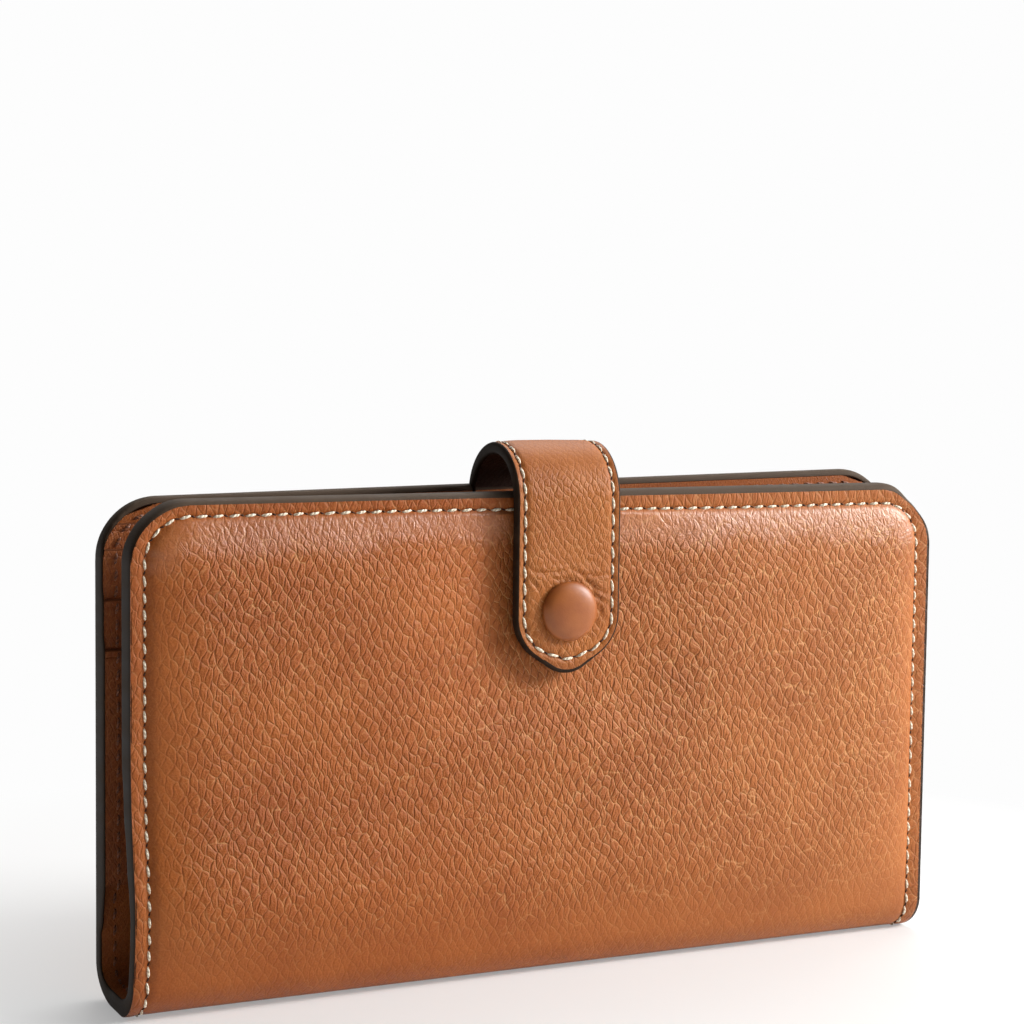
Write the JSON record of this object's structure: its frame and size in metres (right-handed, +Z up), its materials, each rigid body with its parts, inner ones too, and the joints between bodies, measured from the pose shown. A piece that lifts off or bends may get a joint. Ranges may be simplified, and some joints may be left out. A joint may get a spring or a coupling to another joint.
{
  "type": "long wallet",
  "caption": "Long bifold wallet of padded leather covers with card slots, closed over the top by a snap tab.",
  "frame": {"origin": "middle of the flat strip of the spine that the closed wallet stands on", "axes": "+X along the fold towards the right-hand end seen from the front, -Y out of the front cover that carries the snap, +Z up from the spine to the covers' free edges"},
  "size_m": [0.184, 0.0287, 0.1119],
  "materials": {
    "pebbled_leather": "tan pebbled leather, soft sheen",
    "smooth_leather": "tan smooth skived leather, soft sheen",
    "lining_leather": "tan lining leather, matt",
    "pocket_leather": "tan lightly grained leather, matt",
    "tab_lining": "dark brown lining leather, matt",
    "filler": "pale felt and foam, matt",
    "snap_metal": "pressed brass, antique polish",
    "spring_steel": "drawn spring wire"
  },
  "bodies": {
    "spine": {"spine_leather": "pebbled_leather", "spine_filler": "filler", "spine_lining": "lining_leather"},
    "front_cover": {"front_leather": "pebbled_leather", "front_padding": "filler", "front_lining": "lining_leather", "front_slip_panel": "pocket_leather", "front_slot_row_1": "pocket_leather", "front_slot_row_2": "pocket_leather", "front_slot_row_3": "pocket_leather", "snap_stud": "snap_metal", "snap_post": "snap_metal"},
    "back_cover": {"back_leather": "pebbled_leather", "back_padding": "filler", "back_lining": "lining_leather", "back_note_panel": "pocket_leather", "back_slot_row_1": "pocket_leather", "back_slot_row_2": "pocket_leather", "back_slot_row_3": "pocket_leather", "tab_root_leather": "pebbled_leather", "tab_root_lining": "tab_lining"},
    "tab_bridge": {"tab_bridge_leather": "pebbled_leather", "tab_bridge_lining": "tab_lining"},
    "tab_flap": {"tab_flap_leather": "pebbled_leather", "tab_flap_lining": "tab_lining", "snap_cap_shell": "snap_metal", "snap_cap_leather": "smooth_leather", "snap_socket": "snap_metal", "snap_spring": "spring_steel"}
  },
  "joints": [
    {"name": "front_fold", "type": "hinge", "parent": "spine", "child": "front_cover", "pos_m": [0, -0.0083, 0.0022], "axis": [1, 0, 0], "range_deg": [0, 86]},
    {"name": "back_fold", "type": "hinge", "parent": "spine", "child": "back_cover", "pos_m": [0, 0.0083, 0.0022], "axis": [-1, 0, 0], "range_deg": [0, 86]},
    {"name": "tab_root_bend", "type": "hinge", "parent": "back_cover", "child": "tab_bridge", "pos_m": [0, 0.00583, 0.10838], "axis": [-1, 0, 0], "range_deg": [0, 90]},
    {"name": "tab_front_bend", "type": "hinge", "parent": "tab_bridge", "child": "tab_flap", "pos_m": [0, -0.01093, 0.10838], "axis": [-1, 0, 0], "range_deg": [0, 90]}
  ]
}
